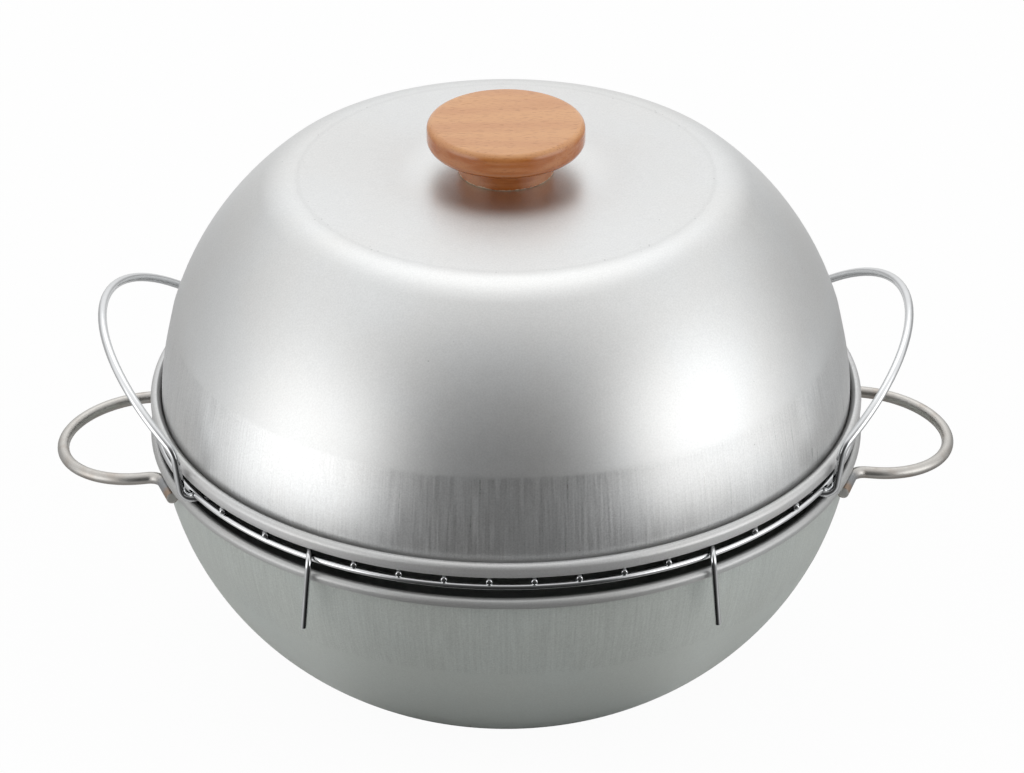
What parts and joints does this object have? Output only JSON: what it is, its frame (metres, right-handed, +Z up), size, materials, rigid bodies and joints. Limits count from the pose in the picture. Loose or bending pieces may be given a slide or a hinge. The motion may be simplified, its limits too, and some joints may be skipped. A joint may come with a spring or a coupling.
{
  "type": "smoker pot",
  "caption": "Round smoking pot: pressed steel bowl with loop handles, a lift-out chrome wire rack across its rim, and a deep lift-off lid with a turned wooden knob.",
  "frame": {"origin": "middle of the bowl's flat underside", "axes": "+X through the right-hand bowl handle, +Y towards the back, along the rack's wires, +Z up"},
  "size_m": [0.4182, 0.33, 0.2646],
  "materials": {
    "bowl_steel": "satin, aluminised",
    "lid_steel": "satin, aluminised",
    "rod_steel": "dull, bare",
    "chrome_wire": "bright plated",
    "beech": "clear lacquer",
    "plated_steel": "zinc plated"
  },
  "bodies": {
    "pot": {"bowl_shell": "bowl_steel", "bowl_handle_left": "rod_steel", "bowl_handle_right": "rod_steel"},
    "rack": {"rack_ring": "chrome_wire", "rack_wire_01": "chrome_wire", "rack_wire_02": "chrome_wire", "rack_wire_04": "chrome_wire", "rack_wire_05": "chrome_wire", "rack_wire_06": "chrome_wire", "rack_wire_07": "chrome_wire", "rack_wire_08": "chrome_wire", "rack_wire_09": "chrome_wire", "rack_wire_10": "chrome_wire", "rack_wire_11": "chrome_wire", "rack_wire_13": "chrome_wire", "rack_wire_14": "chrome_wire", "rack_hook_wire_left": "chrome_wire", "rack_hook_wire_right": "chrome_wire", "rack_handle_left": "chrome_wire", "rack_handle_right": "chrome_wire"},
    "lid": {"lid_shell": "lid_steel", "lid_knob": "beech", "knob_screw": "plated_steel", "knob_washer": "plated_steel"}
  },
  "joints": [
    {"name": "rack_lift", "type": "slide", "parent": "pot", "child": "rack", "axis": [0, 0, 1], "range_m": [0, 0.15]},
    {"name": "lid_lift", "type": "slide", "parent": "rack", "child": "lid", "axis": [0, 0, 1], "range_m": [0, 0.15]}
  ]
}
